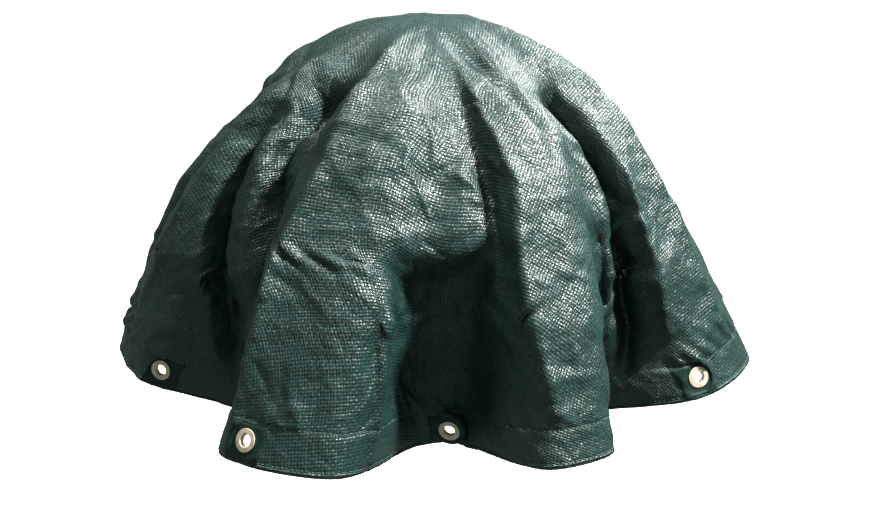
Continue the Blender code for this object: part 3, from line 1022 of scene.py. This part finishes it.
# ---- materials ----
class Nodes:
    """Short calls for building one material's node tree."""

    def __init__(self, name):
        self.material = bpy.data.materials.new(name)
        self.material.use_nodes = True
        self.tree = self.material.node_tree
        self.shader = self.tree.nodes["Principled BSDF"]

    def node(self, kind, settings=None, **inputs):
        made = self.tree.nodes.new("ShaderNode" + kind)
        for key, value in (settings or {}).items():
            setattr(made, key, value)
        for key, value in inputs.items():
            self.put(made.inputs[key.replace("_", " ")], value)
        return made

    def put(self, socket, value):
        if isinstance(value, bpy.types.NodeSocket):
            self.tree.links.new(value, socket)
        else:
            socket.default_value = value

    def maths(self, operation, first, second=0.0, third=0.0):
        made = self.tree.nodes.new("ShaderNodeMath")
        made.operation = operation
        for socket, value in zip(made.inputs, (first, second, third)):
            self.put(socket, value)
        return made.outputs[0]

    def mix(self, share, first, second):
        """Colour or grey between two others."""
        made = self.tree.nodes.new("ShaderNodeMix")
        made.data_type = "RGBA"
        self.put(made.inputs["Factor"], share)
        for label, value in (("A", first), ("B", second)):
            socket = [s for s in made.inputs if s.name == label and s.type == "RGBA"][0]
            self.put(socket, (*value, 1) if isinstance(value, tuple) else value)
        return [s for s in made.outputs if s.type == "RGBA"][0]

    def choose(self, share, first, second):
        """The first value where share is 1 and the second where it is 0."""
        rest = self.maths("SUBTRACT", 1.0, share)
        return self.maths("ADD", self.maths("MULTIPLY", first, share),
                          self.maths("MULTIPLY", second, rest))

    def place(self):
        return self.node("TexCoord").outputs["Object"]

    def noise(self, vector, scale, detail=3.0, rough=0.55):
        made = self.node("TexNoise", Scale=scale, Detail=detail, Roughness=rough)
        self.put(made.inputs["Vector"], vector)
        return made.outputs["Fac"]

    def span(self, value, low, high, to_low=0.0, to_high=1.0):
        """The value's share of the way from low to high, between two other numbers."""
        made = self.node("MapRange", Value=value)
        for label, number in (("From Min", low), ("From Max", high),
                              ("To Min", to_low), ("To Max", to_high)):
            made.inputs[label].default_value = number
        return made.outputs["Result"]

    def bump(self, height, distance, normal=None):
        made = self.node("Bump", Height=height, Strength=1.0, Distance=distance)
        if normal is not None:
            self.put(made.inputs["Normal"], normal)
        return made.outputs["Normal"]

    def finish(self, colour, rough, normal=None, metallic=0.0, specular=0.5):
        self.put(self.shader.inputs["Base Color"], colour)
        self.put(self.shader.inputs["Roughness"], rough)
        self.shader.inputs["Metallic"].default_value = metallic
        self.shader.inputs["Specular IOR Level"].default_value = specular
        if normal is not None:
            self.put(self.shader.inputs["Normal"], normal)
        return self.material


def tapes(n, across):
    """One set of parallel tapes: their numbers, rounded section and grey tones."""
    number = n.maths("FLOOR", across)
    arch = n.maths("ABSOLUTE", n.maths("SINE", n.maths("MULTIPLY", across, pi)))
    tone = n.node("TexWhiteNoise", {"noise_dimensions": "1D"}, W=number).outputs["Value"]
    return number, arch, tone


def tape_hill(n, own, other):
    """Height of a tape, round across and falling towards the tapes beside the crossing."""
    return n.maths("MULTIPLY", n.maths("POWER", own, 0.6),
                   n.maths("MULTIPLY_ADD", other, 0.5, 0.5))


def woven_tape():
    """Coated polyethylene tapes, one over and one under, with a satin film on top, and shade
    painted dark into the gaps between the tapes.
    """
    n = Nodes("woven_tape")
    flat = n.node("UVMap", {"uv_map": "Flat"}).outputs["UV"]
    parts = n.node("SeparateXYZ", Vector=flat)
    sway = n.span(n.noise(flat, 14.0, 2.0), 0, 1, -TAPE_SWAY, TAPE_SWAY)
    u = n.maths("DIVIDE", n.maths("ADD", parts.outputs["X"], sway), TAPE)
    v = n.maths("DIVIDE", n.maths("ADD", parts.outputs["Y"], sway), TAPE)
    number_u, arch_u, tone_u = tapes(n, u)
    number_v, arch_v, tone_v = tapes(n, v)
    over = n.maths("FLOORED_MODULO", n.maths("ADD", number_u, number_v), 2.0)
    weave = n.choose(over, tape_hill(n, arch_u, arch_v), tape_hill(n, arch_v, arch_u))
    tone = n.choose(over, tone_u, tone_v)
    cloudy = n.noise(flat, 9.0, 3.0)
    body = n.mix(n.span(n.maths("ADD", tone, cloudy), 0.3, 1.7), *TAPE_COLOURS)
    # painted shade: the colour falls to the near-black gap colour where the weave's relief is low,
    # between the tapes
    colour = n.mix(n.span(weave, 0.20, 0.70), GAP_SHADE_COLOUR, body)
    crumple = n.noise(flat, 55.0, 4.0, 0.6)
    scuffs = n.noise(flat, 260.0, 2.0)
    worn = n.span(n.maths("ADD", crumple, scuffs), 0.6, 1.4, *TAPE_ROUGH)
    rough = n.maths("ADD", worn, n.span(weave, 0.55, 0.15, 0.0, GAP_ROUGH))
    soft = n.bump(crumple, CREPE_DEPTH)
    relief = n.maths("ADD", weave, n.maths("MULTIPLY", scuffs, 0.35))
    return n.finish(colour, rough, n.bump(relief, WEAVE_DEPTH, soft), specular=0.7)


def smooth_film():
    """Dull smooth film of the patches."""
    n = Nodes("smooth_film")
    mottle = n.noise(n.place(), 60.0, 4.0)
    colour = n.mix(mottle, *FILM_COLOURS)
    rough = n.span(mottle, 0.3, 0.7, *FILM_ROUGH)
    return n.finish(colour, rough, n.bump(mottle, 0.002), specular=0.35)


def sewing_thread():
    n = Nodes("sewing_thread")
    ply = n.noise(n.place(), 1400.0, 2.0)
    colour = n.mix(ply, *THREAD_COLOURS)
    return n.finish(colour, 0.62, n.bump(ply, 0.0002))


def rope_strand():
    n = Nodes("rope_strand")
    fibre = n.noise(n.place(), 900.0, 3.0)
    colour = n.mix(fibre, *ROPE_COLOURS)
    return n.finish(colour, 0.7, n.bump(fibre, 0.0003))


def eyelet_metal():
    """Pale metal with fine scratches and a warm tarnish."""
    n = Nodes("eyelet_metal_look")
    tarnish = n.noise(n.place(), 160.0, 4.0)
    scratches = n.noise(n.place(), 1500.0, 3.0)
    colour = n.mix(n.span(tarnish, 0.35, 0.7), *METAL_COLOURS)
    rough = n.span(n.maths("ADD", tarnish, scratches), 0.7, 1.3, *METAL_ROUGH)
    return n.finish(colour, rough, n.bump(scratches, 0.00012), metallic=0.2)


def pale_floor():
    n = Nodes("pale_floor")
    colour = n.mix(n.noise(n.place(), 0.8, 2.0), *FLOOR_COLOURS)
    n.shader.inputs["Emission Color"].default_value = (1, 1, 1, 1)
    n.shader.inputs["Emission Strength"].default_value = FLOOR_GLOW
    return n.finish(colour, 0.9)


# ---- studio ----
def area_light(name, place, size, power):
    lamp = bpy.data.lights.new(name, "AREA")
    lamp.size = size
    lamp.energy = power
    made = bpy.data.objects.new(name, lamp)
    made.location = place
    made.rotation_euler = (Vector(LIGHT_AIM) - Vector(place)).to_track_quat("-Z", "Y").to_euler()
    bpy.context.collection.objects.link(made)


def stage_piece(name, mesh, finish):
    """Part of the set: seen by the camera, but it sends no light onto the cover."""
    mesh.materials.append(finish)
    made = bpy.data.objects.new(name, mesh)
    bpy.context.collection.objects.link(made)
    made.visible_diffuse = False
    made.visible_glossy = False
    made.visible_shadow = False


def studio():
    """Floor, backdrop box, lights and sky."""
    edge, top = STAGE_HALF, FLOOR_Z + STAGE_HALF
    corners = [(-edge, -edge), (edge, -edge), (edge, edge), (-edge, edge)]
    floor = bpy.data.meshes.new("floor")
    floor.from_pydata([(x, y, FLOOR_Z) for x, y in corners], [], [(0, 1, 2, 3)])
    walls = bpy.data.meshes.new("backdrop")
    walls.from_pydata([(x, y, z) for z in (FLOOR_Z, top) for x, y in corners], [],
                      [(0, 1, 5, 4), (1, 2, 6, 5), (2, 3, 7, 6), (3, 0, 4, 7), (4, 5, 6, 7)])
    pale = pale_floor()
    stage_piece("floor", floor, pale)
    stage_piece("backdrop", walls, pale)
    for name, place, size, power in LIGHTS:
        area_light(name, place, size, power)
    world = bpy.data.worlds.new("studio")
    world.use_nodes = True
    sky = world.node_tree.nodes["Background"]
    sky.inputs["Color"].default_value = (*SKY_COLOUR, 1)
    sky.inputs["Strength"].default_value = SKY
    bpy.context.scene.world = world
    bpy.context.scene.view_settings.view_transform = "Standard"


def camera():
    lens = bpy.data.cameras.new("camera")
    lens.sensor_width = SENSOR
    lens.lens = FOCAL_LENGTH
    lens.shift_x, lens.shift_y = SHIFT
    made = bpy.data.objects.new("camera", lens)
    made.location = CAMERA_PLACE
    made.rotation_euler = (radians(CAMERA_TILT), 0, 0)
    bpy.context.collection.objects.link(made)
    bpy.context.scene.camera = made


def build():
    camera()
    studio()
    woven = woven_tape()
    film = smooth_film()
    thread = sewing_thread()
    strand = rope_strand()
    metal = eyelet_metal()
    cloth = Cloth()
    cover = cover_piece(cloth, woven)
    pieces = [facing_piece(cloth, woven), rope_piece(cloth, strand)]
    pieces.append(stitch_piece("lower_stitches", cloth, LOWER_SEAM, thread, "lower_hem_thread"))
    pieces.append(stitch_piece("upper_stitches", cloth, UPPER_SEAM, thread, "upper_hem_thread"))
    for number, (turn, place) in enumerate(zip(eyelet_turns(), EYELET_FRAMES), start=1):
        pieces.append(patch_piece(number, cloth, turn, film))
        pieces.append(eyelet_piece(number, place, metal))
        pieces.append(washer_piece(number, place, metal))


build()
